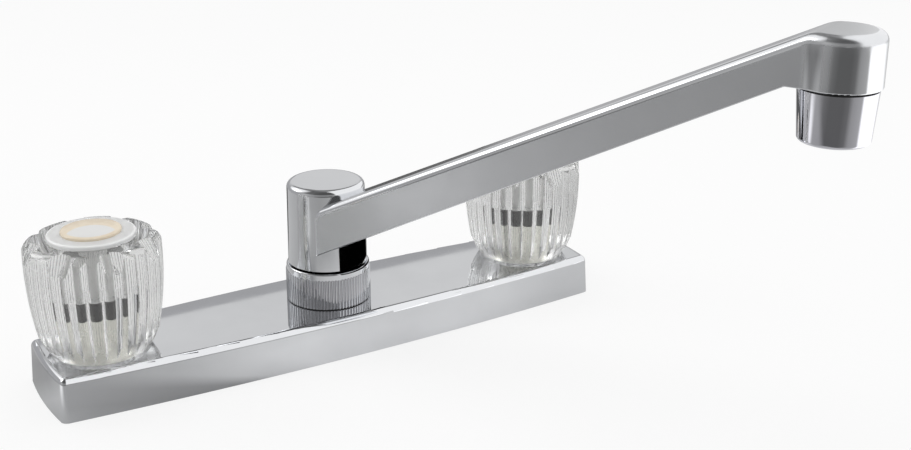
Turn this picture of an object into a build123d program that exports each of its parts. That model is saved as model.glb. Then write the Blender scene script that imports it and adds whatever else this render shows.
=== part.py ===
from build123d import *
import os
from math import cos, pi, radians, sin

# Two handle kitchen faucet on an eight inch deck plate, with clear fluted knobs and a rising swing spout.
# Frame: the origin is the middle of the deck plate's foot, on the spout's swivel axis. +Z is up, +X runs
# along the plate to the cold handle and -Y points to the user. All sizes are millimetres.

os.makedirs("parts", exist_ok=True)

# ---------------------------------------------------------------- driving dimensions

# deck plate, a hollow cover with bowed sides and sloping walls
plate_length = 250.0
plate_end_half_width = 22.9
plate_middle_half_width = 27.9
plate_end_bow = 1.6
plate_height = 18.0
plate_wall = 2.0
plate_draft_angle = 3.3
plate_corner_radius = 3.0
plate_edge_radius = 2.6

# rubber putty plate inside the cover's foot
putty_height = 3.0
putty_side_gap = 0.3
shank_hole_gap = 0.5

# valves, one at each end
valve_spacing = 203.2
shank_radius = 10.4
shank_bore_radius = 7.2
shank_length = 46.0
shank_end_chamfer = 1.0
free_thread_length = 21.0
relief_depth = 0.6
relief_width = 1.0
barrel_radius = 13.5
neck_radius = 10.6
neck_top = 28.0
chamber_radius = 7.6
chamber_floor = -2.0
seat_port_radius = 3.4
seat_port_depth = 4.0
seat_throat_radius = 2.2
seat_throat_depth = 2.0
seat_offset = 4.0
plate_hole_gap = 0.4

# copper cross tubes between the valves and the centre tee
cross_tube_radius = 5.0
cross_tube_wall = 0.8
cross_tube_height = 9.0
cross_tube_socket = 4.0

# rubber seat and its spring under the stem's disc
seat_radius = 3.3
seat_bore_radius = 1.7
seat_foot = -3.0
seat_gap = 0.1
spring_wire_radius = 0.35
spring_radius = 2.7
spring_turns = 3

# stem, turned by the handle
stem_disc_bottom = 0.6
stem_disc_height = 2.8
stem_disc_radius = 7.4
stem_port_radius = 2.6
stem_radius = 5.0
stem_shoulder_top = 43.4
stem_top = 57.0
broach_radius = 4.0
broach_points = 12
broach_gap = 0.03
stem_groove_height = 21.0
stem_ring_section = 0.6
stem_ring_gap = 0.03
screw_hole_radius = 1.6

# guide bush that fills the chamber's mouth
guide_gap = 0.05
guide_skirt_bottom = 14.5
guide_flange_height = 2.0
guide_fit_gap = 0.02

# chromed bonnet nut over the neck, and the black friction ring on it
bonnet_radius = 11.9
bonnet_top = 36.5
bonnet_roof_bottom = 30.0
bonnet_collar_radius = 7.5
bonnet_collar_top = 42.5
bonnet_stem_gap = 0.3
friction_ring_radius = 11.6
friction_ring_top = 43.7

# washers and nuts under the sink deck
deck_gap = 10.0
washer_thickness = 2.0
washer_radius = 19.0
backnut_height = 9.0
backnut_radius = 17.0
backnut_ear = 27.0
backnut_ear_width = 6.0

# clear knob
knob_bottom = 18.8
knob_foot_radius = 19.4
knob_waist_radius = 23.3
knob_waist_height = 26.0
knob_belly_radius = 26.8
knob_shoulder_height = 58.5
knob_base_radius = 21.9
knob_middle_radius = 26.05
knob_top_radius = 26.4
knob_crown_radius = 20.6
knob_crown_height = 65.3
knob_disc_radius = 17.2
knob_disc_top = 67.4
knob_disc_edge = 0.8
knob_ribs = 32
knob_rib_depth = 1.3
knob_lobes = 8
valley_radius = 5.0
valley_depth = 3.2
valley_lean = 38.0
knob_cavity_radius = 12.6
knob_cavity_top = 44.3
knob_recess_radius = 9.0
knob_recess_floor = 58.6
insert_radius = 5.6
insert_bottom = 44.0
screw_head_radius = 3.6
screw_head_height = 2.4
screw_shank_bottom = 47.0

# index button in the knob's recess
button_radius = 11.8
button_side = 1.0
button_dome = 0.6
button_edge = 0.5
button_plug_wall = 1.4
button_plug_depth = 4.4
button_plug_gap = 0.05

# centre tee with the threaded spout post
tee_radius = 16.0
tee_foot_radius = 19.0
tee_foot_top = 5.0
post_thread_radius = 15.0
post_top = 30.0
post_bore_radius = 10.0
post_bore_bottom = 5.0

# spout: stub in the post, hub, rising arm and round outlet
stub_gap = 0.05
stub_bottom = 14.2
stub_bore_radius = 6.4
stub_ring_section = 1.1
stub_ring_heights = (17.6, 24.6)
stub_ring_gap = 0.03
retainer_bottom = 30.1
retainer_thickness = 1.5
retainer_radius = 13.0
retainer_groove_depth = 0.8
retainer_split = 3.0
hub_bottom = 35.3
hub_top = 71.1
hub_bottom_radius = 17.05
hub_top_radius = 16.6
hub_edge_radius = 2.6
hub_cavity_radius = 9.5
hub_floor = 4.0
hub_roof = 5.0
spout_reach = 216.4
spout_swing = 65.5
arm_hub_half_width = 15.7
arm_outlet_half_width = 12.6
arm_start = 4.0
arm_bottom_at_axis = 38.9
arm_top_at_axis = 59.9
arm_top_edge_radius = 3.4
arm_bottom_edge_radius = 0.5
arm_blend_radius = 12.0
arm_root_radius = 7.5
arm_heel_radius = 2.0
arm_crown_radius = 12.0
arm_wall = 2.8
outlet_radius = 14.2
outlet_bottom = 143.6
outlet_top = 162.3
outlet_heel = 13.7
outlet_crown = 6.6
outlet_thread_radius = 10.6
outlet_thread_depth = 8.0

# knurled spout nut on its rubber washer
nut_washer_radius = 17.8
nut_washer_thickness = 0.4
nut_radius = 18.3
nut_knurl_top = 31.6
nut_top = 34.4
nut_rim_radius = 17.9
nut_rim_edge = 0.7
nut_lip_bottom = 31.9
nut_lip_gap = 0.7
knurl_count = 80
knurl_groove_radius = 0.6

# aerator
gasket_radius = 12.8
gasket_thickness = 0.8
aerator_length = 18.0
aerator_top_radius = 13.3
aerator_bottom_radius = 12.0
aerator_bore_radius = 9.2
aerator_lip_radius = 8.2
aerator_lip_height = 1.6
aerator_edge_radius = 1.4
aerator_washer_thickness = 1.4
screen_thickness = 0.5
screen_holes_per_side = 9
screen_hole_pitch = 1.7
screen_hole_width = 1.2
flow_core_height = 8.0
flow_core_hole_radius = 1.1
flow_core_gap = 0.05

# ---------------------------------------------------------------- worked out from the above

valve_offset = valve_spacing / 2
plate_top_inside = plate_height - plate_wall
seat_top = stem_disc_bottom - seat_gap
free_thread_top = -shank_length + shank_end_chamfer + free_thread_length
relief_top = free_thread_top + relief_width
guide_bore_radius = stem_radius + guide_gap
stub_radius = post_bore_radius - stub_gap
aerator_top = outlet_bottom - gasket_thickness
nut_bottom = plate_height + nut_washer_thickness
aerator_bottom = aerator_top - aerator_length
aerator_thread_top = outlet_bottom + outlet_thread_depth - aerator_washer_thickness


def write(piece, name, place=Location()):
    """Puts a finished piece in its place in the frame and writes it as one file."""
    piece = piece.moved(place)
    piece.label = name
    export_step(piece, f"parts/{name}.step")
    print(name, round(piece.volume, 1))


def half_profile(points):
    """A closed outline of radius and height, to be turned about the Z axis."""
    with BuildSketch(Plane.XZ) as profile:
        with BuildLine():
            Polyline(*points, close=True)
        make_face()
    return profile.sketch


def ring_profile(inner, outer, bottom, top):
    """A square section of a ring between two radii and two heights."""
    return half_profile([(inner, bottom), (outer, bottom), (outer, top), (inner, top)])


# ---------------------------------------------------------------- deck plate

def plate_outline(inset):
    """The plate's plan at its foot, drawn in by an even inset: bowed sides and slightly bowed ends."""
    half_length = plate_length / 2 - inset
    end_half = plate_end_half_width - inset
    middle_half = plate_middle_half_width - inset
    end_reach = half_length + plate_end_bow
    with BuildSketch() as plan:
        with BuildLine():
            ThreePointArc((-half_length, -end_half), (0, -middle_half), (half_length, -end_half))
            ThreePointArc((half_length, -end_half), (end_reach, 0), (half_length, end_half))
            ThreePointArc((half_length, end_half), (0, middle_half), (-half_length, end_half))
            ThreePointArc((-half_length, end_half), (-end_reach, 0), (-half_length, -end_half))
        make_face()
        fillet(plan.vertices(), plate_corner_radius)
    return plan.sketch


with BuildPart() as deck_plate:
    extrude(plate_outline(0), amount=plate_height, taper=plate_draft_angle)
    fillet(deck_plate.faces().sort_by(Axis.Z)[-1].edges(), plate_edge_radius)
    extrude(plate_outline(plate_wall), amount=plate_top_inside, taper=plate_draft_angle, mode=Mode.SUBTRACT)
    with Locations((-valve_offset, 0, plate_height), (valve_offset, 0, plate_height)):
        Hole(neck_radius + plate_hole_gap, depth=2 * plate_wall)
    with Locations((0, 0, plate_height)):
        Hole(post_thread_radius + plate_hole_gap, depth=2 * plate_wall)
write(deck_plate.part, "deck_plate")

with BuildPart() as putty_plate:
    extrude(plate_outline(plate_wall + putty_side_gap), amount=putty_height)
    with Locations((-valve_offset, 0, putty_height), (valve_offset, 0, putty_height)):
        Hole(shank_radius + shank_hole_gap, depth=2 * putty_height)
write(putty_plate.part, "putty_plate")


# ---------------------------------------------------------------- valves

def valve_body():
    """Brass body: inlet shank, floor with the seat's port, stem chamber and a socket for the cross tube."""
    end = -shank_length
    port_floor = chamber_floor - seat_port_depth
    floor_bottom = port_floor - seat_throat_depth
    with BuildPart() as body:
        outside = [
            (0, end),
            (shank_radius - shank_end_chamfer, end),
            (shank_radius, end + shank_end_chamfer),
            (shank_radius, free_thread_top),
            (shank_radius - relief_depth, free_thread_top),
            (shank_radius - relief_depth, relief_top),
            (shank_radius, relief_top),
            (shank_radius, putty_height),
            (barrel_radius, putty_height),
            (barrel_radius, plate_top_inside),
            (neck_radius, plate_top_inside),
            (neck_radius, neck_top),
            (0, neck_top),
        ]
        revolve(half_profile(outside), axis=Axis.Z)
        revolve(ring_profile(0, shank_bore_radius, end, floor_bottom), axis=Axis.Z, mode=Mode.SUBTRACT)
        revolve(ring_profile(0, chamber_radius, chamber_floor, neck_top), axis=Axis.Z, mode=Mode.SUBTRACT)
        with BuildSketch(Plane.XY.offset(port_floor)):
            with Locations((0, -seat_offset)):
                Circle(seat_port_radius)
        extrude(amount=seat_port_depth, mode=Mode.SUBTRACT)
        with BuildSketch(Plane.XY.offset(floor_bottom)):
            with Locations((0, -seat_offset)):
                Circle(seat_throat_radius)
        extrude(amount=seat_throat_depth, mode=Mode.SUBTRACT)
        with BuildSketch(Plane.YZ.offset(barrel_radius - cross_tube_socket)):
            with Locations((0, cross_tube_height)):
                Circle(cross_tube_radius)
        extrude(amount=2 * cross_tube_socket, mode=Mode.SUBTRACT)
        with BuildSketch(Plane.YZ):
            with Locations((0, cross_tube_height)):
                Circle(cross_tube_radius - cross_tube_wall)
        extrude(amount=barrel_radius, mode=Mode.SUBTRACT)
    return body.part


def seat_cup():
    """Rubber cup that the spring presses up against the stem's disc."""
    with BuildPart() as cup:
        with BuildSketch(Plane.XY.offset(seat_foot)):
            with Locations((0, -seat_offset)):
                Circle(seat_radius)
                Circle(seat_bore_radius, mode=Mode.SUBTRACT)
        extrude(amount=seat_top - seat_foot)
    return cup.part


def seat_spring():
    """Wire spring between the port's ledge and the seat cup."""
    bottom = chamber_floor - seat_port_depth + spring_wire_radius
    height = seat_foot - spring_wire_radius - bottom
    with BuildPart() as spring:
        with BuildLine() as wire:
            Helix(height / spring_turns, height, spring_radius, center=(0, -seat_offset, bottom))
        with BuildSketch(Plane(origin=wire.line @ 0, z_dir=wire.line % 0)):
            Circle(spring_wire_radius)
        sweep(is_frenet=True)
    return spring.part


def guide_bush():
    """White bush that closes the chamber and guides the stem. Its flange is held under the bonnet nut."""
    with BuildPart() as bush:
        skirt_radius = chamber_radius - guide_fit_gap
        outside = [
            (guide_bore_radius, guide_skirt_bottom),
            (skirt_radius, guide_skirt_bottom),
            (skirt_radius, neck_top),
            (neck_radius - guide_fit_gap, neck_top),
            (neck_radius - guide_fit_gap, neck_top + guide_flange_height),
            (guide_bore_radius, neck_top + guide_flange_height),
        ]
        revolve(half_profile(outside), axis=Axis.Z)
    return bush.part


def bonnet_nut():
    """Chromed nut round the valve's neck, with a collar for the friction ring."""
    with BuildPart() as nut:
        stem_hole = stem_radius + bonnet_stem_gap
        section = [
            (neck_radius, plate_height),
            (bonnet_radius, plate_height),
            (bonnet_radius, bonnet_top),
            (bonnet_collar_radius, bonnet_top),
            (bonnet_collar_radius, bonnet_collar_top),
            (stem_hole, bonnet_collar_top),
            (stem_hole, bonnet_roof_bottom),
            (neck_radius, bonnet_roof_bottom),
        ]
        revolve(half_profile(section), axis=Axis.Z)
    return nut.part


def friction_ring():
    """Black ring pressed over the bonnet nut's collar."""
    with BuildPart() as ring:
        inner = ring_profile(bonnet_collar_radius, friction_ring_radius, bonnet_top, bonnet_collar_top)
        revolve(inner, axis=Axis.Z)
        roof = ring_profile(
            stem_radius + bonnet_stem_gap, friction_ring_radius, bonnet_collar_top, friction_ring_top
        )
        revolve(roof, axis=Axis.Z)
    return ring.part


def mounting_washer():
    """Wide washer that bears on the underside of the sink deck."""
    with BuildPart() as washer:
        top = -deck_gap
        revolve(ring_profile(shank_radius, washer_radius, top - washer_thickness, top), axis=Axis.Z)
    return washer.part


def mounting_nut():
    """Plastic backnut with four wings, run up the shank by hand."""
    top = -deck_gap - washer_thickness
    with BuildPart() as nut:
        with BuildSketch(Plane.XY.offset(top - backnut_height)):
            Circle(backnut_radius)
            with PolarLocations(backnut_ear / 2, 4):
                Rectangle(backnut_ear, backnut_ear_width)
            Circle(shank_radius, mode=Mode.SUBTRACT)
        extrude(amount=backnut_height)
    return nut.part


# ---------------------------------------------------------------- handles

def stem(opening_turn):
    """Brass stem. Its disc covers the seat when shut, and its port meets the seat after a quarter turn."""
    port_angle = radians(-90 - 90 * opening_turn)
    disc_top = stem_disc_bottom + stem_disc_height
    with BuildPart() as body:
        groove_floor = stem_radius - 2 * stem_ring_section
        groove_top = stem_groove_height + 2 * stem_ring_section + 2 * stem_ring_gap
        outside = [
            (0, stem_disc_bottom),
            (stem_disc_radius, stem_disc_bottom),
            (stem_disc_radius, disc_top),
            (stem_radius, disc_top),
            (stem_radius, stem_groove_height),
            (groove_floor, stem_groove_height),
            (groove_floor, groove_top),
            (stem_radius, groove_top),
            (stem_radius, stem_shoulder_top),
            (0, stem_shoulder_top),
        ]
        revolve(half_profile(outside), axis=Axis.Z)
        with BuildSketch(Plane.XY.offset(stem_shoulder_top)):
            RegularPolygon(broach_radius, broach_points)
        extrude(amount=stem_top - stem_shoulder_top)
        with BuildSketch(Plane.XY.offset(screw_shank_bottom)):
            Circle(screw_hole_radius)
        extrude(amount=stem_top - screw_shank_bottom, mode=Mode.SUBTRACT)
        with BuildSketch(Plane.XY.offset(stem_disc_bottom)):
            with Locations((seat_offset * cos(port_angle), seat_offset * sin(port_angle))):
                Circle(stem_port_radius)
        extrude(amount=stem_disc_height, mode=Mode.SUBTRACT)
    return body.part


def stem_o_ring():
    """Rubber ring in the stem's groove."""
    major = stem_radius - stem_ring_section + stem_ring_gap
    middle = stem_groove_height + stem_ring_section + stem_ring_gap
    with BuildPart() as ring:
        with Locations((0, 0, middle)):
            Torus(major, stem_ring_section)
    return ring.part


def rib_outline(peak_radius, height):
    """A ring of convex ribs, as wide as the knob is at that height."""
    pitch = 2 * pi / knob_ribs
    root_radius = peak_radius - knob_rib_depth
    with BuildSketch(Plane.XY.offset(height)) as plan:
        with BuildLine():
            for rib in range(knob_ribs):
                start, middle, stop = rib * pitch, (rib + 0.5) * pitch, (rib + 1) * pitch
                ThreePointArc(
                    (root_radius * cos(start), root_radius * sin(start)),
                    (peak_radius * cos(middle), peak_radius * sin(middle)),
                    (root_radius * cos(stop), root_radius * sin(stop)),
                )
        make_face()
    return plan.sketch


def knob():
    """Clear knob: a ribbed tulip with lobed shoulders, a raised disc, and a hollow for the bonnet nut."""
    side_radius = knob_belly_radius + knob_rib_depth
    shoulder_middle = (
        knob_crown_radius + 0.82 * (knob_belly_radius - knob_crown_radius),
        knob_shoulder_height + 0.76 * (knob_crown_height - knob_shoulder_height),
    )
    with BuildPart() as body:
        # ribs, wider than the foot where the bevel ends them
        loft([
            rib_outline(knob_base_radius, knob_bottom),
            rib_outline(knob_middle_radius, (knob_bottom + knob_crown_height) / 2),
            rib_outline(knob_top_radius, knob_crown_height),
        ])
        # bevel at the foot and round of the shoulder
        with BuildSketch(Plane.XZ):
            with BuildLine():
                Polyline((0, knob_crown_height), (0, knob_bottom), (knob_foot_radius, knob_bottom))
                ThreePointArc(
                    (knob_foot_radius, knob_bottom),
                    (knob_foot_radius + 0.55 * (knob_waist_radius - knob_foot_radius),
                     knob_bottom + 0.42 * (knob_waist_height - knob_bottom)),
                    (knob_waist_radius, knob_waist_height),
                )
                Polyline(
                    (knob_waist_radius, knob_waist_height),
                    (side_radius, knob_waist_height + 2 * knob_rib_depth),
                    (side_radius, knob_shoulder_height),
                    (knob_belly_radius, knob_shoulder_height),
                )
                ThreePointArc(
                    (knob_belly_radius, knob_shoulder_height),
                    shoulder_middle,
                    (knob_crown_radius, knob_crown_height),
                )
                Line((knob_crown_radius, knob_crown_height), (0, knob_crown_height))
            make_face()
        revolve(axis=Axis.Z, mode=Mode.INTERSECT)
        # valleys between the lobes
        lean = radians(valley_lean)
        outward = Vector(cos(lean), 0, sin(lean))
        shoulder_point = Vector(shoulder_middle[0], 0, shoulder_middle[1])
        valley_centre = shoulder_point + outward * (valley_radius - valley_depth)
        for lobe in range(knob_lobes):
            turn = Location((0, 0, 0), (0, 0, 360 / knob_lobes * lobe))
            with Locations(turn * Location(valley_centre, (0, -valley_lean, 0))):
                Cylinder(valley_radius, 2 * knob_crown_radius, mode=Mode.SUBTRACT)
        # raised disc
        with BuildSketch(Plane.XY.offset(knob_crown_height - 1)):
            Circle(knob_disc_radius)
        extrude(amount=knob_disc_top - knob_crown_height + 1)
        fillet(body.faces().sort_by(Axis.Z)[-1].edges(), knob_disc_edge)
        # hollow, socket for the insert and recess for the button
        hollow = [
            (0, knob_bottom),
            (knob_cavity_radius, knob_bottom),
            (knob_cavity_radius, knob_cavity_top),
            (insert_radius, knob_cavity_top),
            (insert_radius, knob_recess_floor),
            (knob_recess_radius, knob_recess_floor),
            (knob_recess_radius, knob_disc_top),
            (0, knob_disc_top),
        ]
        revolve(half_profile(hollow), axis=Axis.Z, mode=Mode.SUBTRACT)
    return body.part


def broach_insert():
    """White sleeve moulded into the knob, with the twelve sided socket that drives the stem."""
    with BuildPart() as insert:
        with BuildSketch(Plane.XY.offset(insert_bottom)):
            Circle(insert_radius)
            RegularPolygon(broach_radius + broach_gap, broach_points, mode=Mode.SUBTRACT)
        extrude(amount=stem_top - insert_bottom)
        with BuildSketch(Plane.XY.offset(stem_top)):
            Circle(insert_radius)
            Circle(screw_hole_radius, mode=Mode.SUBTRACT)
        extrude(amount=knob_recess_floor - stem_top)
    return insert.part


def handle_screw():
    """Pan head screw that holds the knob on the stem."""
    with BuildPart() as screw:
        with BuildSketch(Plane.XY.offset(screw_shank_bottom)):
            Circle(screw_hole_radius)
        extrude(amount=knob_recess_floor - screw_shank_bottom)
        with BuildSketch(Plane.XY.offset(knob_recess_floor)):
            Circle(screw_head_radius)
        extrude(amount=screw_head_height)
        fillet(screw.edges().group_by(Axis.Z)[-1], screw_head_height / 3)
        with BuildSketch(Plane.XY.offset(knob_recess_floor + screw_head_height / 2)):
            Rectangle(screw_head_radius * 1.2, screw_head_height / 3)
            Rectangle(screw_head_height / 3, screw_head_radius * 1.2)
        extrude(amount=screw_head_height, mode=Mode.SUBTRACT)
    return screw.part


def index_button():
    """Domed button on the knob's disc, with a hollow plug that snaps into the recess."""
    plug_radius = knob_recess_radius - button_plug_gap
    with BuildPart() as button:
        rim_height = knob_disc_top + button_side
        dome_top = rim_height + button_dome
        with BuildSketch(Plane.XZ):
            with BuildLine():
                Polyline((0, dome_top), (0, knob_disc_top), (button_radius, knob_disc_top))
                Line((button_radius, knob_disc_top), (button_radius, rim_height))
                ThreePointArc(
                    (button_radius, rim_height),
                    (button_radius / 2, dome_top - button_dome / 4),
                    (0, dome_top),
                )
            make_face()
        revolve(axis=Axis.Z)
        fillet(button.edges().filter_by_position(Axis.Z, rim_height - 0.1, rim_height + 0.1), button_edge)
        with BuildSketch(Plane.XY.offset(knob_disc_top - button_plug_depth)):
            Circle(plug_radius)
            Circle(plug_radius - button_plug_wall, mode=Mode.SUBTRACT)
        extrude(amount=button_plug_depth)
    return button.part


# ---------------------------------------------------------------- valves and handles in place

sides = {"hot": (-valve_offset, 0, 1), "cold": (valve_offset, 180, -1)}
for side, (valve_x, facing, opening_turn) in sides.items():
    at_valve = Location((valve_x, 0, 0), (0, 0, facing))
    write(valve_body(), f"{side}_valve_body", at_valve)
    write(seat_cup(), f"{side}_seat_cup", at_valve)
    write(seat_spring(), f"{side}_seat_spring", at_valve)
    write(guide_bush(), f"{side}_guide_bush", at_valve)
    write(bonnet_nut(), f"{side}_bonnet_nut", at_valve)
    write(friction_ring(), f"{side}_friction_ring", at_valve)
    write(mounting_washer(), f"{side}_mounting_washer", at_valve)
    write(mounting_nut(), f"{side}_mounting_nut", at_valve)
    write(stem(opening_turn), f"{side}_stem", at_valve)
    write(stem_o_ring(), f"{side}_stem_o_ring", at_valve)
    write(knob(), f"{side}_knob", at_valve)
    write(broach_insert(), f"{side}_broach_insert", at_valve)
    write(handle_screw(), f"{side}_handle_screw", at_valve)
    write(index_button(), f"{side}_index_button", at_valve)

# ---------------------------------------------------------------- centre tee and cross tubes

with BuildPart() as spout_tee:
    tee_outside = [
        (0, putty_height),
        (tee_foot_radius, putty_height),
        (tee_foot_radius, tee_foot_top),
        (tee_radius, tee_foot_top),
        (tee_radius, plate_top_inside),
        (post_thread_radius, plate_top_inside),
        (post_thread_radius, post_top),
        (0, post_top),
    ]
    revolve(half_profile(tee_outside), axis=Axis.Z)
    revolve(ring_profile(0, post_bore_radius, post_bore_bottom, post_top), axis=Axis.Z, mode=Mode.SUBTRACT)
    for facing in (0, 180):
        port = Plane.YZ.rotated((0, 0, facing))
        with BuildSketch(port):
            with Locations((0, cross_tube_height)):
                Circle(cross_tube_radius - cross_tube_wall)
        extrude(amount=tee_radius, mode=Mode.SUBTRACT)
        with BuildSketch(port.offset(tee_radius - cross_tube_socket)):
            with Locations((0, cross_tube_height)):
                Circle(cross_tube_radius)
        extrude(amount=2 * cross_tube_socket, mode=Mode.SUBTRACT)
write(spout_tee.part, "spout_tee")

for side, (valve_x, facing, opening_turn) in sides.items():
    tube_start = barrel_radius - cross_tube_socket
    tube_stop = valve_offset - tee_radius + cross_tube_socket
    with BuildPart() as cross_tube:
        with BuildSketch(Plane.YZ.offset(tube_start)):
            with Locations((0, cross_tube_height)):
                Circle(cross_tube_radius)
                Circle(cross_tube_radius - cross_tube_wall, mode=Mode.SUBTRACT)
        extrude(amount=tube_stop - tube_start)
    write(cross_tube.part, f"{side}_cross_tube", Location((valve_x, 0, 0), (0, 0, facing)))

# ---------------------------------------------------------------- spout nut

with BuildPart() as nut_washer:
    washer_section = ring_profile(post_thread_radius, nut_washer_radius, plate_height, nut_bottom)
    revolve(washer_section, axis=Axis.Z)
write(nut_washer.part, "nut_washer")

with BuildPart() as spout_nut:
    with BuildSketch(Plane.XY.offset(nut_bottom)):
        Circle(nut_radius)
        with PolarLocations(nut_radius, knurl_count):
            Circle(knurl_groove_radius, mode=Mode.SUBTRACT)
    extrude(amount=nut_knurl_top - nut_bottom)
    with BuildSketch(Plane.XY.offset(nut_knurl_top)):
        Circle(nut_rim_radius)
    extrude(amount=nut_top - nut_knurl_top)
    fillet(spout_nut.edges().group_by(Axis.Z)[-1], nut_rim_edge)
    nut_hollow = [
        (0, nut_bottom),
        (post_thread_radius, nut_bottom),
        (post_thread_radius, nut_lip_bottom),
        (stub_radius + nut_lip_gap, nut_lip_bottom),
        (stub_radius + nut_lip_gap, nut_top),
        (0, nut_top),
    ]
    revolve(half_profile(nut_hollow), axis=Axis.Z, mode=Mode.SUBTRACT)
write(spout_nut.part, "spout_nut")

# ---------------------------------------------------------------- spout, drawn along +X and then swung

swung = Location((0, 0, 0), (0, 0, -spout_swing))


def arm_side(inset):
    """The arm and outlet from the side: straight rising edges that run into a level top and bottom."""
    heel_x = spout_reach - outlet_heel
    crown_x = spout_reach - outlet_crown
    bottom_slope = (outlet_bottom - arm_bottom_at_axis) / heel_x
    top_slope = (outlet_top - arm_top_at_axis) / crown_x
    end_x = spout_reach + 2 * outlet_radius
    with BuildSketch(Plane.XZ) as side_view:
        with BuildLine():
            rise = Polyline(
                (arm_start, arm_bottom_at_axis + bottom_slope * arm_start + inset),
                (heel_x, outlet_bottom + inset),
                (end_x, outlet_bottom + inset),
            )
            drop = Polyline(
                (end_x, outlet_top - inset),
                (crown_x, outlet_top - inset),
                (arm_start, arm_top_at_axis + top_slope * arm_start - inset),
            )
            Line(rise @ 1, drop @ 0)
            Line(drop @ 1, rise @ 0)
        make_face()
        fillet(side_view.vertices().filter_by_position(Axis.X, heel_x - 1, heel_x + 1), arm_heel_radius)
        fillet(side_view.vertices().filter_by_position(Axis.X, crown_x - 1, crown_x + 1), arm_crown_radius)
        root = side_view.vertices().filter_by_position(Axis.X, arm_start - 0.1, arm_start + 0.1)
        fillet(root.sort_by(Axis.Y)[-1], arm_root_radius)
    return side_view.sketch


def arm_plan(inset):
    """The arm and outlet from above: straight sides that draw in and blend into the round outlet."""
    with BuildSketch() as plan:
        with BuildLine():
            Polyline(
                (arm_start, -arm_hub_half_width + inset),
                (spout_reach, -arm_outlet_half_width + inset),
                (spout_reach, arm_outlet_half_width - inset),
                (arm_start, arm_hub_half_width - inset),
                close=True,
            )
        make_face()
        with Locations((spout_reach, 0)):
            Circle(outlet_radius - inset)
        necks = plan.vertices().filter_by_position(Axis.X, arm_start + 1, spout_reach)
        fillet(necks, arm_blend_radius)
    return plan.sketch


def arm_rim(body, direction):
    """The long edges round the arm's upper or lower faces, without those that run straight across it."""
    faces = body.faces().filter_by(lambda face: direction * face.normal_at().Z > 0.3)
    across = faces.edges().filter_by(GeomType.LINE).filter_by_position(Axis.Y, -0.1, 0.1)
    return ShapeList(edge for edge in faces.edges() if edge not in across)


with BuildPart() as spout_body:
    # arm and outlet
    extrude(arm_side(0), amount=2 * arm_hub_half_width, both=True)
    extrude(arm_plan(0), amount=2 * outlet_top, both=True, mode=Mode.INTERSECT)
    fillet(arm_rim(spout_body, 1), arm_top_edge_radius)
    fillet(arm_rim(spout_body, -1), arm_bottom_edge_radius)
    # hub and stub, with grooves for two rings and the retainer
    groove_radius = post_bore_radius - stub_ring_gap - 2 * stub_ring_section
    retainer_groove_radius = stub_radius - retainer_groove_depth
    stub_outside = [(0, stub_bottom), (stub_radius, stub_bottom)]
    for ring_height in stub_ring_heights:
        ring_height_top = ring_height + 2 * stub_ring_section + 2 * stub_ring_gap
        stub_outside += [
            (stub_radius, ring_height),
            (groove_radius, ring_height),
            (groove_radius, ring_height_top),
            (stub_radius, ring_height_top),
        ]
    stub_outside += [
        (stub_radius, retainer_bottom),
        (retainer_groove_radius, retainer_bottom),
        (retainer_groove_radius, retainer_bottom + retainer_thickness),
        (stub_radius, retainer_bottom + retainer_thickness),
        (stub_radius, hub_bottom),
        (hub_bottom_radius, hub_bottom),
        (hub_top_radius, hub_top),
        (0, hub_top),
    ]
    revolve(half_profile(stub_outside), axis=Axis.Z)
    hub_rim = spout_body.edges().filter_by(GeomType.CIRCLE).filter_by_position(
        Axis.Z, hub_top - 0.1, hub_top + 0.1
    )
    fillet(hub_rim, hub_edge_radius)
    # waterway
    waterway = [
        (0, stub_bottom),
        (stub_bore_radius, stub_bottom),
        (stub_bore_radius, hub_bottom + hub_floor),
        (hub_cavity_radius, hub_bottom + hub_floor),
        (hub_cavity_radius, hub_top - hub_roof),
        (0, hub_top - hub_roof),
    ]
    revolve(half_profile(waterway), axis=Axis.Z, mode=Mode.SUBTRACT)
with BuildPart() as arm_channel:
    extrude(arm_side(arm_wall), amount=2 * arm_hub_half_width, both=True)
    extrude(arm_plan(arm_wall), amount=2 * outlet_top, both=True, mode=Mode.INTERSECT)
with spout_body:
    add(arm_channel.part, mode=Mode.SUBTRACT)
    with BuildSketch(Plane.XY.offset(outlet_bottom)):
        with Locations((spout_reach, 0)):
            Circle(outlet_thread_radius)
    extrude(amount=outlet_thread_depth, mode=Mode.SUBTRACT)
write(spout_body.part, "spout_body", swung)


def square_ring(inner, outer, bottom, thickness):
    """A flat ring."""
    with BuildPart() as ring:
        revolve(ring_profile(inner, outer, bottom, bottom + thickness), axis=Axis.Z)
    return ring.part


with BuildPart() as stub_o_rings:
    for ring_height in stub_ring_heights:
        with Locations((0, 0, ring_height + stub_ring_section + stub_ring_gap)):
            Torus(post_bore_radius - stub_ring_gap - stub_ring_section, stub_ring_section)
write(stub_o_rings.part, "stub_o_rings", swung)

with BuildPart() as retainer_ring:
    with BuildSketch(Plane.XY.offset(retainer_bottom)):
        Circle(retainer_radius)
        Circle(retainer_groove_radius, mode=Mode.SUBTRACT)
        with Locations((-retainer_radius, 0)):
            Rectangle(2 * retainer_groove_radius, retainer_split, mode=Mode.SUBTRACT)
    extrude(amount=retainer_thickness)
write(retainer_ring.part, "retainer_ring", swung)

# ---------------------------------------------------------------- aerator, drawn under the outlet

at_outlet = swung * Location((spout_reach, 0, 0))

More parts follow.
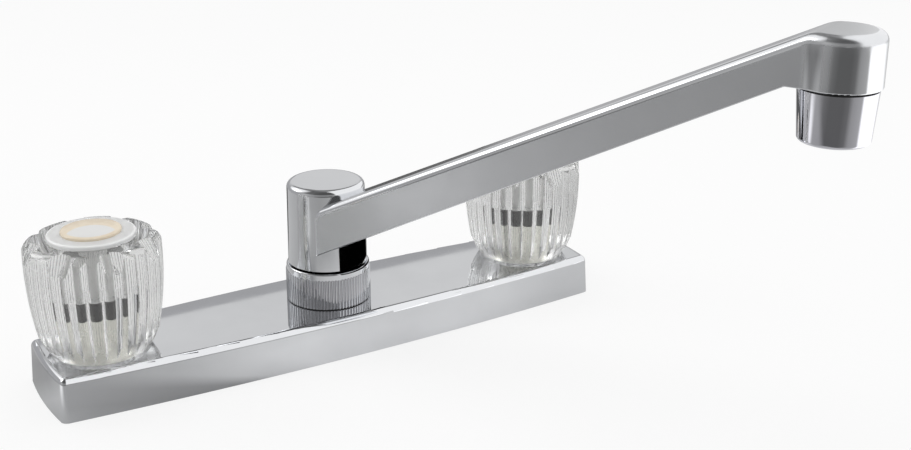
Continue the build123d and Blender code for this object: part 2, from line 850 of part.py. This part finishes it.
with BuildPart() as aerator_housing:
    housing_section = [
        (aerator_bore_radius, aerator_bottom + aerator_lip_height),
        (aerator_lip_radius, aerator_bottom + aerator_lip_height),
        (aerator_lip_radius, aerator_bottom),
        (aerator_bottom_radius, aerator_bottom),
        (aerator_top_radius, aerator_top),
        (outlet_thread_radius, aerator_top),
        (outlet_thread_radius, aerator_thread_top),
        (aerator_bore_radius, aerator_thread_top),
    ]
    revolve(half_profile(housing_section), axis=Axis.Z)
    foot_rim = aerator_housing.edges().filter_by_position(Axis.Z, aerator_bottom - 0.1, aerator_bottom + 0.1)
    fillet(foot_rim.sort_by(SortBy.LENGTH)[-1], aerator_edge_radius)
write(aerator_housing.part, "aerator_housing", at_outlet)

screen_bottom = aerator_bottom + aerator_lip_height
core_radius = aerator_bore_radius - flow_core_gap

with BuildPart() as aerator_screen:
    with BuildSketch(Plane.XY.offset(screen_bottom)):
        Circle(core_radius)
        pitch, count = screen_hole_pitch, screen_holes_per_side
        with GridLocations(pitch, pitch, count, count) as grid:
            holes = [place for place in grid.locations if place.position.length < core_radius - pitch]
        with Locations(*holes):
            Rectangle(screen_hole_width, screen_hole_width, mode=Mode.SUBTRACT)
    extrude(amount=screen_thickness)
write(aerator_screen.part, "aerator_screen", at_outlet)

with BuildPart() as flow_core:
    with BuildSketch(Plane.XY.offset(screen_bottom + screen_thickness)):
        Circle(core_radius)
        for ring_radius, count in ((0, 1), (core_radius * 0.37, 6), (core_radius * 0.72, 12)):
            with PolarLocations(ring_radius, count):
                Circle(flow_core_hole_radius, mode=Mode.SUBTRACT)
    extrude(amount=flow_core_height)
write(flow_core.part, "aerator_flow_core", at_outlet)

aerator_gasket = square_ring(outlet_thread_radius, gasket_radius, aerator_top, gasket_thickness)
write(aerator_gasket, "aerator_gasket", at_outlet)

washer_height = outlet_bottom + outlet_thread_depth - aerator_thread_top
aerator_washer = square_ring(aerator_bore_radius, outlet_thread_radius, aerator_thread_top, washer_height)
write(aerator_washer, "aerator_washer", at_outlet)
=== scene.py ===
"""The looks, the camera and the light of the two handle kitchen faucet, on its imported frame."""
import math

import bpy
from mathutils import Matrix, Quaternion, Vector

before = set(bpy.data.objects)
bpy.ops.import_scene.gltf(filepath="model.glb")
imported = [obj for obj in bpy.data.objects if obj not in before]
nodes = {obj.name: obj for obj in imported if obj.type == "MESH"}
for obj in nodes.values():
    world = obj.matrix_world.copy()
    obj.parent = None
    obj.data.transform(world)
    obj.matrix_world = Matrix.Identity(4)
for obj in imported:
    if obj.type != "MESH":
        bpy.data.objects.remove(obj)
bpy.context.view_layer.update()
scene = bpy.context.scene
scene.view_settings.view_transform = "Standard"

VALVE_OFFSET = 0.1016  # from the hub's axis to each knob's axis, in metres along X
NOISE_SPAN = (0.35, 0.65)  # the range that holds most values of a noise
MIX_SOCKETS = {"FLOAT": (2, 3, 0), "RGBA": (6, 7, 2)}  # a mix node's two inputs and its output


# ---------------------------------------------------------------- node helpers

def add(tree, kind, **settings):
    """A node with some of its properties set."""
    node = tree.nodes.new(kind)
    for key, value in settings.items():
        setattr(node, key, value)
    return node


def feed(tree, value, socket):
    """Links an output to an input, or sets the input to a constant."""
    if isinstance(value, bpy.types.NodeSocket):
        tree.links.new(value, socket)
    else:
        socket.default_value = value


def grey(level):
    """A neutral colour."""
    return (level, level, level, 1)


def noise(tree, coordinates, scale, detail, stretch=(1, 1, 1)):
    """A noise in object space, stretched along the axes."""
    mapping = add(tree, "ShaderNodeMapping")
    mapping.inputs["Scale"].default_value = stretch
    tree.links.new(coordinates.outputs["Object"], mapping.inputs["Vector"])
    texture = add(tree, "ShaderNodeTexNoise")
    texture.inputs["Scale"].default_value = scale
    texture.inputs["Detail"].default_value = detail
    tree.links.new(mapping.outputs["Vector"], texture.inputs["Vector"])
    return texture.outputs["Fac"]


def ramp(tree, source, stops):
    """A colour ramp of (position, colour) stops driven by a value."""
    node = add(tree, "ShaderNodeValToRGB")
    elements = node.color_ramp.elements
    for element, (position, colour) in zip(elements, stops):
        element.position, element.color = position, (*colour, 1)
    for position, colour in stops[2:]:
        elements.new(position).color = (*colour, 1)
    tree.links.new(source, node.inputs["Fac"])
    return node.outputs["Color"]


def two_tones(tree, source, dark, light):
    """A colour that a noise takes from a dark to a light tone."""
    return ramp(tree, source, list(zip(NOISE_SPAN, (dark, light))))


def value_range(tree, source, levels, span=NOISE_SPAN):
    """Maps a span of a value onto two levels, which hold on beyond its ends."""
    node = add(tree, "ShaderNodeMapRange")
    node.inputs["From Min"].default_value, node.inputs["From Max"].default_value = span
    node.inputs["To Min"].default_value, node.inputs["To Max"].default_value = levels
    tree.links.new(source, node.inputs["Value"])
    return node.outputs["Result"]


def math_node(tree, operation, first, second=0.0):
    """A maths node on one or two values, each an output or a number."""
    node = add(tree, "ShaderNodeMath", operation=operation)
    feed(tree, first, node.inputs[0])
    feed(tree, second, node.inputs[1])
    return node.outputs[0]


def mix(tree, data_type, fac, first, second):
    """A mix of two values or of two colours."""
    node = add(tree, "ShaderNodeMix", data_type=data_type)
    first_input, second_input, output = MIX_SOCKETS[data_type]
    feed(tree, fac, node.inputs["Factor"])
    feed(tree, first, node.inputs[first_input])
    feed(tree, second, node.inputs[second_input])
    return node.outputs[output]


def split(tree, source):
    """The X, Y and Z of a vector."""
    node = add(tree, "ShaderNodeSeparateXYZ")
    tree.links.new(source, node.inputs[0])
    return node.outputs


def length(tree, source):
    """The length of a vector."""
    node = add(tree, "ShaderNodeVectorMath", operation="LENGTH")
    tree.links.new(source, node.inputs[0])
    return node.outputs["Value"]


def along_direction(tree, source, direction):
    """How far a vector reaches along a direction."""
    node = add(tree, "ShaderNodeVectorMath", operation="DOT_PRODUCT")
    node.inputs[1].default_value = direction
    tree.links.new(source, node.inputs[0])
    return node.outputs["Value"]


def axis_distance(tree, x, y):
    """The distance from an upright axis, from the two coordinates measured from it."""
    level = add(tree, "ShaderNodeCombineXYZ")
    tree.links.new(x, level.inputs["X"])
    tree.links.new(y, level.inputs["Y"])
    return length(tree, level.outputs[0])


def from_knob_axis(tree, x):
    """X measured from the axis of the knob on the same side."""
    side = math_node(tree, "SIGN", x)
    return math_node(tree, "SUBTRACT", x, math_node(tree, "MULTIPLY", side, VALVE_OFFSET))


def round_spot(tree, x, y, middle, edge):
    """One inside a round spot and zero outside it, with a soft edge between two radii."""
    across = math_node(tree, "SUBTRACT", x, middle[0])
    along = math_node(tree, "SUBTRACT", y, middle[1])
    return value_range(tree, axis_distance(tree, across, along), (1.0, 0.0), edge)


def bump(tree, shader, height, distance, strength):
    """Adds a bump from a height value."""
    node = add(tree, "ShaderNodeBump")
    node.inputs["Distance"].default_value = distance
    node.inputs["Strength"].default_value = strength
    tree.links.new(height, node.inputs["Height"])
    tree.links.new(node.outputs["Normal"], shader.inputs["Normal"])


# ---------------------------------------------------------------- materials

RIPPLE, RIPPLE_SCALE = 0.00002, 28  # the slight waves in plated metal: height in metres, scale
FINE_DETAIL, GLOSS_DETAIL, COARSE_DETAIL, RIPPLE_DETAIL = 3.0, 4.0, 2.0, 1.0
GRAIN_STRENGTH = 0.4


def parts_of(material):
    """The tree of a node material, its shader and its coordinate node."""
    tree = material.node_tree
    return tree, tree.nodes["Principled BSDF"], tree.nodes["Texture Coordinate"]


def new_material(name):
    """A node material with a Principled shader and a coordinate node."""
    material = bpy.data.materials.new(name)
    material.use_nodes = True
    add(material.node_tree, "ShaderNodeTexCoord")
    return material, *parts_of(material)


def metal(name, light, dark, gloss, scale, ripple=0.0, stretch=(1, 1, 1)):
    """A metal with slight tone and gloss variation, and an optional ripple."""
    material, tree, shader, coordinates = new_material(name)
    shader.inputs["Metallic"].default_value = 1.0
    tone = noise(tree, coordinates, scale, FINE_DETAIL, stretch)
    tree.links.new(two_tones(tree, tone, dark, light), shader.inputs["Base Color"])
    shine = noise(tree, coordinates, scale * 2.5, GLOSS_DETAIL, stretch)
    tree.links.new(value_range(tree, shine, gloss), shader.inputs["Roughness"])
    if ripple:
        wave = noise(tree, coordinates, RIPPLE_SCALE, RIPPLE_DETAIL)
        bump(tree, shader, wave, ripple, 1.0)
    return material


def plastic(name, light, dark, gloss, scale, grain=0.0):
    """A moulded plastic or rubber with slight tone and gloss variation, and an optional grain."""
    material, tree, shader, coordinates = new_material(name)
    tone = noise(tree, coordinates, scale, FINE_DETAIL)
    tree.links.new(two_tones(tree, tone, dark, light), shader.inputs["Base Color"])
    shine = noise(tree, coordinates, scale * 2, FINE_DETAIL)
    tree.links.new(value_range(tree, shine, gloss), shader.inputs["Roughness"])
    if grain:
        skin = noise(tree, coordinates, scale * 6, COARSE_DETAIL)
        bump(tree, shader, skin, grain, GRAIN_STRENGTH)
    return material


PLATING = {"light": (0.80, 0.81, 0.83), "dark": (0.76, 0.77, 0.79)}
chrome_plate = metal("chrome_plate", **PLATING, gloss=(0.03, 0.05), scale=35, ripple=RIPPLE)
chrome_knurl = metal("chrome_knurl", **PLATING, gloss=(0.05, 0.09), scale=60)
chrome_spout = metal(
    "chrome_spout", light=(0.80, 0.81, 0.83), dark=(0.77, 0.78, 0.80), gloss=(0.06, 0.09), scale=40,
    ripple=RIPPLE,
)
chrome_aerator = metal(
    "chrome_aerator", light=(0.78, 0.78, 0.82), dark=(0.74, 0.74, 0.79), gloss=(0.04, 0.08),
    scale=60,
)
chrome_bonnet = metal(
    "chrome_bonnet", light=(0.90, 0.89, 0.83), dark=(0.86, 0.85, 0.79), gloss=(0.20, 0.30), scale=80
)
brass = metal(
    "brass", light=(0.78, 0.60, 0.30), dark=(0.66, 0.48, 0.22), gloss=(0.22, 0.36), scale=90,
    stretch=(1, 1, 6),
)
copper = metal(
    "copper", light=(0.80, 0.46, 0.30), dark=(0.66, 0.34, 0.20), gloss=(0.2, 0.34), scale=120,
    stretch=(0.3, 1, 1),
)
steel = metal("steel", light=(0.62, 0.62, 0.62), dark=(0.5, 0.5, 0.5), gloss=(0.28, 0.4), scale=150)
steel_mesh = metal(
    "steel_mesh", light=(0.62, 0.62, 0.62), dark=(0.45, 0.45, 0.45), gloss=(0.3, 0.45), scale=400
)
rubber = plastic(
    "rubber", light=(0.022, 0.022, 0.022), dark=(0.014, 0.014, 0.014), gloss=(0.6, 0.8), scale=300,
    grain=0.00002,
)
foam = plastic(
    "foam", light=(0.06, 0.06, 0.06), dark=(0.03, 0.03, 0.03), gloss=(0.75, 0.95), scale=260,
    grain=0.0001,
)
black_plastic = plastic(
    "black_plastic", light=(0.03, 0.026, 0.024), dark=(0.02, 0.018, 0.017), gloss=(0.3, 0.45),
    scale=200, grain=0.00001,
)
white_plastic = plastic(
    "white_plastic", light=(0.84, 0.84, 0.82), dark=(0.78, 0.78, 0.76), gloss=(0.25, 0.4), scale=120
)
insert_plastic = plastic(
    "insert_plastic", light=(0.95, 0.95, 0.94), dark=(0.92, 0.92, 0.90), gloss=(0.25, 0.4),
    scale=120,
)

# the arm's flat sides and the top of the outlet are buffed to a softer gloss than the hub
ARM_SIDE = (0.910, 0.415, 0.0)  # the direction that a flat side faces
FLAT_SPAN, FLAT_DULLING = (0.992, 0.999), 0.26
CROWN_HEIGHTS, CROWN_DULLING = (0.1555, 0.1595), 0.16
tree, shader, coordinates = parts_of(chrome_spout)
polished = shader.inputs["Roughness"].links[0].from_socket
facing = along_direction(tree, coordinates.outputs["Normal"], ARM_SIDE)
flat = value_range(tree, math_node(tree, "ABSOLUTE", facing), (0.0, FLAT_DULLING), FLAT_SPAN)
height = split(tree, coordinates.outputs["Object"])["Z"]
crown = value_range(tree, height, (0.0, CROWN_DULLING), CROWN_HEIGHTS)
gloss = math_node(tree, "ADD", math_node(tree, "ADD", flat, polished), crown)
tree.links.new(gloss, shader.inputs["Roughness"])

# painted shade darkens the grooves of the knurl, below the smooth rim
GROOVE_RADII = (0.01782, 0.01818)
RIM_HEIGHTS = (0.0312, 0.0316)
GROOVE_SHADE = (0.45, 0.45, 0.47, 1)
tree, shader, coordinates = parts_of(chrome_knurl)
bright = shader.inputs["Base Color"].links[0].from_socket
spot = split(tree, coordinates.outputs["Object"])
groove = value_range(tree, axis_distance(tree, spot["X"], spot["Y"]), (1.0, 0.0), GROOVE_RADII)
below_rim = value_range(tree, spot["Z"], (1.0, 0.0), RIM_HEIGHTS)
# painted shade: the grooves below the rim take a darker tone
painted_groove_shade = math_node(tree, "MULTIPLY", groove, below_rim)
tree.links.new(mix(tree, "RGBA", painted_groove_shade, bright, GROOVE_SHADE), shader.inputs["Base Color"])

# the knobs are clear, with a frosted raised disc, milkiest at its rim, and a duller foot
CLEAR_TINT, ACRYLIC_IOR = (0.985, 0.99, 0.985, 1), 1.49
POLISH, POLISH_SCALE = (0.05, 0.08), 90
DISC_HEIGHTS, DISC_DULLING = (0.0655, 0.0657), 0.25
FOOT_HEIGHTS, FOOT_DULLING = (0.0240, 0.0290), 0.12
DISC_RIM_RADII, DISC_MILKINESS = (0.0160, 0.0165), (0.55, 0.85)
LEAST_MILKINESS = 0.03
acrylic, tree, shader, coordinates = new_material("clear_acrylic")
shader.inputs["Base Color"].default_value = CLEAR_TINT
shader.inputs["IOR"].default_value = ACRYLIC_IOR
spot = split(tree, coordinates.outputs["Object"])
disc = value_range(tree, spot["Z"], (0.0, 1.0), DISC_HEIGHTS)
foot = value_range(tree, spot["Z"], (FOOT_DULLING, 0.0), FOOT_HEIGHTS)
polish = value_range(tree, noise(tree, coordinates, POLISH_SCALE, COARSE_DETAIL), POLISH)
gloss = math_node(tree, "ADD", polish, math_node(tree, "MULTIPLY", disc, DISC_DULLING))
gloss = math_node(tree, "ADD", gloss, foot)
tree.links.new(gloss, shader.inputs["Roughness"])
radius = axis_distance(tree, from_knob_axis(tree, spot["X"]), spot["Y"])
rim = value_range(tree, radius, DISC_MILKINESS, DISC_RIM_RADII)
milky = math_node(tree, "MAXIMUM", math_node(tree, "MULTIPLY", disc, rim), LEAST_MILKINESS)
clear = math_node(tree, "SUBTRACT", 1.0, milky)
tree.links.new(clear, shader.inputs["Transmission Weight"])

# the index buttons are cream, with a painted highlight: white inside their rim where a spot at the
# front covers them
FRONT_MIDDLE, FRONT_EDGE = (-0.0020, -0.0068), (0.0092, 0.0100)
INNER_MIDDLE, INNER_EDGE = (0.0, 0.0), (0.0096, 0.0104)
CREAM, CREAM_SCALE = {"dark": (0.76, 0.65, 0.50), "light": (0.82, 0.72, 0.57)}, 300
HIGHLIGHT_WHITE, BUTTON_ROUGHNESS = (0.76, 0.76, 0.75, 1), 0.12
index_plastic, tree, shader, coordinates = new_material("index_plastic")
shader.inputs["Roughness"].default_value = BUTTON_ROUGHNESS
cream = two_tones(tree, noise(tree, coordinates, CREAM_SCALE, COARSE_DETAIL), **CREAM)
spot = split(tree, coordinates.outputs["Object"])
across = from_knob_axis(tree, spot["X"])
highlight_spot = round_spot(tree, across, spot["Y"], FRONT_MIDDLE, FRONT_EDGE)
inner_part = round_spot(tree, across, spot["Y"], INNER_MIDDLE, INNER_EDGE)
# painted highlight: white where the front spot lies inside the rim
painted_highlight = math_node(tree, "MULTIPLY", highlight_spot, inner_part)
tree.links.new(mix(tree, "RGBA", painted_highlight, cream, HIGHLIGHT_WHITE), shader.inputs["Base Color"])

finishes = {
    "deck_plate": chrome_plate,
    "putty_plate": foam,
    "spout_tee": brass,
    "spout_nut": chrome_knurl,
    "nut_washer": rubber,
    "spout_body": chrome_spout,
    "stub_o_rings": rubber,
    "retainer_ring": black_plastic,
    "aerator_housing": chrome_aerator,
    "aerator_screen": steel_mesh,
    "aerator_flow_core": white_plastic,
    "aerator_washer": rubber,
    "aerator_gasket": rubber,
}
side_finishes = {
    "valve_body": brass,
    "seat_cup": rubber,
    "seat_spring": steel,
    "guide_bush": white_plastic,
    "bonnet_nut": chrome_bonnet,
    "friction_ring": black_plastic,
    "mounting_washer": steel,
    "mounting_nut": white_plastic,
    "cross_tube": copper,
    "stem": brass,
    "stem_o_ring": rubber,
    "knob": acrylic,
    "broach_insert": insert_plastic,
    "handle_screw": brass,
    "index_button": index_plastic,
}
for side in ("hot", "cold"):
    for piece, finish in side_finishes.items():
        finishes[f"{side}_{piece}"] = finish
for node_name, finish in finishes.items():
    materials = nodes[node_name].data.materials
    materials.clear()
    materials.append(finish)


# ---------------------------------------------------------------- camera

PHOTO_WIDTH, PHOTO_HEIGHT = 911, 450  # in pixels
FOCAL_LENGTH = 1336.0  # in pixels of the photo
PRINCIPAL_ROW = 185.0  # the photo's row that the camera points at
SENSOR_WIDTH = 36.0  # in millimetres
ROLL = 0.068  # in degrees

camera_data = bpy.data.cameras.new("camera")
camera = bpy.data.objects.new("camera", camera_data)
scene.collection.objects.link(camera)
scene.camera = camera
camera_data.sensor_width = SENSOR_WIDTH
camera_data.lens = SENSOR_WIDTH * FOCAL_LENGTH / PHOTO_WIDTH
camera_data.shift_y = (PRINCIPAL_ROW - PHOTO_HEIGHT / 2) / PHOTO_WIDTH
camera_data.clip_start = 0.01
camera.location = (-0.23587, -0.49019, 0.25042)
looking = Vector((0.49609, 0.80778, -0.31840))
camera.rotation_mode = "QUATERNION"
roll = Quaternion((0, 0, 1), math.radians(ROLL))
camera.rotation_quaternion = looking.to_track_quat("-Z", "Y") @ roll


# ---------------------------------------------------------------- stage helpers

WHITE = grey(1)
ONE_FACE = [(0, 1, 2, 3)]
REFRACTED_GREY, REFRACTED_SHARE = 0.85, 0.6


def turn(degrees):
    """The place of a compass direction on a radial gradient, where +X is the middle."""
    return degrees / 360 + 0.5


def tone_ramp(tree, source, stops):
    """A ramp of (position, grey level) stops; a level above one is reached through a scale."""
    peak = max(level for position, level in stops)
    colour = ramp(tree, source, [(position, (level / peak,) * 3) for position, level in stops])
    return math_node(tree, "MULTIPLY", colour, peak)


def compass_ramp(tree, compass, stops):
    """A ramp of (direction in degrees, grey level) stops; the first two are the gradient's ends."""
    return tone_ramp(tree, compass, [(turn(degrees), level) for degrees, level in stops])


def compass_of(tree, place):
    """The compass direction of a place, on a radial gradient."""
    gradient = add(tree, "ShaderNodeTexGradient", gradient_type="RADIAL")
    tree.links.new(place, gradient.inputs["Vector"])
    return gradient.outputs["Fac"]


def ray_kinds(tree):
    """One for camera rays, one for mirrored or refracted rays, and one for refracted rays alone."""
    path = add(tree, "ShaderNodeLightPath")
    refracted = path.outputs["Is Transmission Ray"]
    clear = math_node(tree, "MAXIMUM", path.outputs["Is Glossy Ray"], refracted)
    return path.outputs["Is Camera Ray"], clear, refracted


def even_out(tree, level, refracted):
    """Draws a level towards a light grey for refracted rays, so that the clear knobs stay light."""
    towards = math_node(tree, "SUBTRACT", REFRACTED_GREY, level)
    lift = math_node(tree, "MULTIPLY", towards, REFRACTED_SHARE)
    return math_node(tree, "ADD", level, math_node(tree, "MULTIPLY", lift, refracted))


def surface(tree, kind, **inputs):
    """The output of a shader node with some of its inputs fed."""
    node = add(tree, kind)
    for name, value in inputs.items():
        feed(tree, value, node.inputs[name])
    return node.outputs[0]


def switch(tree, fac, first, second):
    """A mix of two shaders."""
    node = add(tree, "ShaderNodeMixShader")
    feed(tree, fac, node.inputs["Fac"])
    tree.links.new(first, node.inputs[1])
    tree.links.new(second, node.inputs[2])
    return node.outputs[0]


def stage_mesh(name, points, faces, material_name):
    """An object for the stage, the emptied tree of its material and the tree's output node."""
    mesh = bpy.data.meshes.new(name)
    mesh.from_pydata(points, [], faces)
    thing = bpy.data.objects.new(name, mesh)
    scene.collection.objects.link(thing)
    material = bpy.data.materials.new(material_name)
    material.use_nodes = True
    mesh.materials.append(material)
    tree = material.node_tree
    tree.nodes.clear()
    return thing, tree, add(tree, "ShaderNodeOutputMaterial")


def hide_from(thing, *rays):
    """Hides a thing from some kinds of rays."""
    for ray in rays:
        setattr(thing, f"visible_{ray}", False)


# ---------------------------------------------------------------- floor

# the levels that mirrored rays meet on the floor: near the hub, further out and far away
FLOOR_NEAR = [
    (-180, 0.36), (180, 0.36), (-162, 0.30), (-153, 0.34), (-144, 0.66), (-120, 0.82), (-80, 0.84),
    (-30, 0.84), (0, 0.68), (90, 0.60),
]
FLOOR_MIDDLE = [
    (-180, 0.62), (180, 0.62), (-171, 0.54), (-162, 0.42), (-137, 0.38), (-110, 0.42), (-80, 0.55),
    (-40, 0.75), (0, 0.60), (34, 0.50), (40, 0.12), (95, 0.10), (101, 0.56), (150, 0.48),
    (164, 0.36), (171, 0.40),
]
FLOOR_FAR = [
    (-180, 0.30), (180, 0.30), (-170, 0.40), (-154, 0.34), (-138, 0.18), (-125, 0.13), (-100, 0.13),
    (-90, 0.17), (-82, 0.36), (-65, 0.48), (-61, 1.50), (-20, 1.50), (0, 0.70), (34, 0.50),
    (40, 0.12), (86, 0.12), (92, 0.50), (150, 0.40), (165, 0.22), (176, 0.22),
]
MIDDLE_SPAN, FAR_SPAN = (0.06, 0.14), (0.28, 0.33)  # where each takes over, in metres from the hub
# the floor to the left of the hub has a brighter band of its own, by distance
LEFT_SIDE = [(-180, 1.0), (180, 1.0), (-172, 1.0), (-162, 0.0), (170, 0.0), (177, 1.0)]
LEFT_GAIN = [
    (0.0, 1.0), (1.0, 0.75), (0.14, 1.0), (0.17, 2.0), (0.21, 2.0), (0.26, 1.35), (0.50, 1.25),
    (0.62, 0.75),
]
FLOOR_REACH = 6.0  # half its side, in metres
PAPER_LEVEL = 0.9
SHADED_SHARE = 0.5  # the part of a mirrored level that the lamps light, where the rest glows
PLAIN_SHARE = 0.8  # the part of what the camera sees that is plain white, without shadows

corners = [(-1, -1), (1, -1), (1, 1), (-1, 1)]
floor_points = [(x * FLOOR_REACH, y * FLOOR_REACH, 0) for x, y in corners]
floor, tree, output = stage_mesh("floor", floor_points, ONE_FACE, "floor_paper")
camera_ray, clear_ray, refracted_ray = ray_kinds(tree)
place = add(tree, "ShaderNodeTexCoord").outputs["Object"]
compass = compass_of(tree, place)
distance = length(tree, place)
near = compass_ramp(tree, compass, FLOOR_NEAR)
middle = compass_ramp(tree, compass, FLOOR_MIDDLE)
far = compass_ramp(tree, compass, FLOOR_FAR)
out_to_middle = value_range(tree, distance, (0.0, 1.0), MIDDLE_SPAN)
out_to_far = value_range(tree, distance, (0.0, 1.0), FAR_SPAN)
level = mix(tree, "FLOAT", out_to_far, mix(tree, "FLOAT", out_to_middle, near, middle), far)
left_side = compass_ramp(tree, compass, LEFT_SIDE)
left_gain = tone_ramp(tree, distance, LEFT_GAIN)
extra = math_node(tree, "MULTIPLY", left_side, math_node(tree, "SUBTRACT", left_gain, 1.0))
level = math_node(tree, "MULTIPLY", level, math_node(tree, "ADD", 1.0, extra))
level = even_out(tree, level, refracted_ray)
glow = surface(tree, "ShaderNodeEmission", Strength=level)
shaded = surface(tree, "ShaderNodeBsdfDiffuse", Color=level)
paper = surface(tree, "ShaderNodeBsdfDiffuse", Color=grey(PAPER_LEVEL))
for_camera = switch(tree, PLAIN_SHARE, paper, surface(tree, "ShaderNodeEmission", Color=WHITE))
mirrored = switch(tree, SHADED_SHARE, glow, shaded)
for_clear = switch(tree, clear_ray, paper, mirrored)
tree.links.new(switch(tree, camera_ray, for_clear, for_camera), output.inputs["Surface"])


# ---------------------------------------------------------------- sky

# the levels that mirrored rays meet in the lower sky, by compass direction
LOW_SKY = [
    (-180, 0.62), (180, 0.62), (-155, 0.40), (-135, 0.34), (-95, 0.34), (-78, 0.80), (-55, 1.00),
    (-15, 1.00), (30, 0.80), (42, 0.64), (54, 0.88), (75, 0.88), (100, 0.60), (125, 0.35),
    (155, 0.45),
]
OVERHEAD_HEIGHTS, OVERHEAD_SHARE = (0.46, 0.56), 0.34  # the sky darkens above these heights
# two bright patches: a round one with its outer and inner half angle, and the front right part
PATCH_LEVEL = 1.3
BACK_LEFT, BACK_LEFT_ANGLES = (-0.50, 0.62, 0.60), (33, 20)
RIGHT_SPAN = (0.00, 0.06)
FRONT, FRONT_SPAN = (0.656, -0.755, 0.0), (-0.03, 0.02)
ROOM_LEVEL = 0.65  # what lights matte pieces from all round

world = bpy.data.worlds.new("studio")
scene.world = world
world.use_nodes = True
tree = world.node_tree
tree.nodes.clear()
output = add(tree, "ShaderNodeOutputWorld")
camera_ray, clear_ray, refracted_ray = ray_kinds(tree)
direction = add(tree, "ShaderNodeTexCoord").outputs["Generated"]
parts = split(tree, direction)
low = compass_ramp(tree, compass_of(tree, direction), LOW_SKY)
overhead = value_range(tree, parts["Z"], (1.0, OVERHEAD_SHARE), OVERHEAD_HEIGHTS)
level = math_node(tree, "MULTIPLY", low, overhead)
back_left = value_range(
    tree,
    along_direction(tree, direction, Vector(BACK_LEFT).normalized()),
    (0.0, PATCH_LEVEL),
    [math.cos(math.radians(angle)) for angle in BACK_LEFT_ANGLES],
)
right_half = value_range(tree, parts["X"], (0.0, PATCH_LEVEL), RIGHT_SPAN)
front_half = value_range(tree, along_direction(tree, direction, FRONT), (0.0, 1.0), FRONT_SPAN)
front_right = math_node(tree, "MULTIPLY", right_half, front_half)
for patch in (back_left, front_right):
    level = math_node(tree, "MAXIMUM", level, patch)
level = even_out(tree, level, refracted_ray)
sky = surface(tree, "ShaderNodeBackground", Strength=level)
room = surface(tree, "ShaderNodeBackground", Color=grey(ROOM_LEVEL))
for_clear = switch(tree, clear_ray, room, sky)
for_camera = surface(tree, "ShaderNodeBackground", Color=WHITE)
tree.links.new(switch(tree, camera_ray, for_clear, for_camera), output.inputs["Surface"])


# ---------------------------------------------------------------- board and card

# a low grey board behind the object, seen only in reflections and through clear pieces
BOARD_HALF, BOARD_Y, BOARD_HEIGHT = 1.5, 0.3, 0.150  # half its length, its place and its height
BOARD_GREY = (0.42, 0.42, 0.43, 1)
corners = [(-1, 0), (1, 0), (1, 1), (-1, 1)]
board_points = [(x * BOARD_HALF, BOARD_Y, z * BOARD_HEIGHT) for x, z in corners]
board, tree, output = stage_mesh("board", board_points, ONE_FACE, "board_grey")
hide_from(board, "camera", "diffuse", "shadow")
tone = surface(tree, "ShaderNodeEmission", Color=BOARD_GREY)
tree.links.new(tone, output.inputs["Surface"])

# an upright black card, bent round the foot of the hub, seen only in reflections
CARD_RADIUS, CARD_HEIGHTS = 0.026, (0.0305, 0.047)
CARD_START, CARD_STEP, CARD_STEPS = -93.3, 4, 24  # two angles in degrees, and a count
VELVET_LEVEL = 0.002
card_points = []
for step in range(CARD_STEPS + 1):
    bearing = math.radians(CARD_START + CARD_STEP * step)
    x, y = CARD_RADIUS * math.cos(bearing), CARD_RADIUS * math.sin(bearing)
    card_points += [(x, y, height) for height in CARD_HEIGHTS]
card_faces = [(2 * step, 2 * step + 1, 2 * step + 3, 2 * step + 2) for step in range(CARD_STEPS)]
card, tree, output = stage_mesh("card", card_points, card_faces, "card_black")
hide_from(card, "camera", "diffuse", "shadow", "transmission")
velvet = surface(tree, "ShaderNodeBsdfDiffuse", Color=grey(VELVET_LEVEL))
tree.links.new(velvet, output.inputs["Surface"])


# ---------------------------------------------------------------- lamps

LAMP_TARGET = Vector((0, 0, 0.05))


def softbox(name, position, size, power, *hidden_from):
    """A rectangular lamp that points at the object, hidden from the camera and some other rays."""
    data = bpy.data.lights.new(name, "AREA")
    data.shape = "RECTANGLE"
    data.size, data.size_y = size
    data.energy = power
    lamp = bpy.data.objects.new(name, data)
    scene.collection.objects.link(lamp)
    lamp.location = position
    lamp.rotation_mode = "QUATERNION"
    lamp.rotation_quaternion = (LAMP_TARGET - Vector(position)).to_track_quat("-Z", "Y")
    hide_from(lamp, "camera", *hidden_from)


softbox("overhead", (-0.1, 0.1, 1.2), (0.9, 0.7), 3.4, "glossy")
softbox("left_back", (-0.9, 0.9, 0.9), (0.8, 0.5), 3.0)
softbox("right", (1.2, -0.2, 0.7), (0.7, 0.7), 2.5, "glossy")
